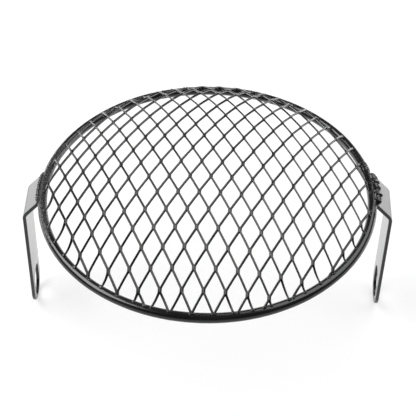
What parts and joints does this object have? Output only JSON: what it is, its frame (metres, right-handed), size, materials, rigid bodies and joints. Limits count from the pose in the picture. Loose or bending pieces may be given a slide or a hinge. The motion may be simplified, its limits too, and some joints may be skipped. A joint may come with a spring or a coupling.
{
  "type": "motorcycle headlight guard",
  "caption": "Domed expanded-mesh stone guard on a round rod hoop, with two bent slotted strip brackets that bolt to the headlight's sides.",
  "frame": {"origin": "on the hoop's axis, level with the middle of both bolt slots, halfway between the two brackets", "axes": "+Z along the hoop's axis, from the lamp out through the top of the mesh dome; X from the left bracket (-X) to the right bracket (+X); Y across, with -Y the side nearest the camera in the picture"},
  "size_m": [0.1952, 0.1704, 0.1078],
  "materials": {
    "black_gloss_paint": "gloss black paint over steel"
  },
  "bodies": {
    "root": {"hoop": "black_gloss_paint", "mesh": "black_gloss_paint", "left_bracket": "black_gloss_paint", "right_bracket": "black_gloss_paint", "left_bracket_weld": "black_gloss_paint", "right_bracket_weld": "black_gloss_paint", "mesh_tacks": "black_gloss_paint", "hoop_seam": "black_gloss_paint"}
  },
  "joints": []
}
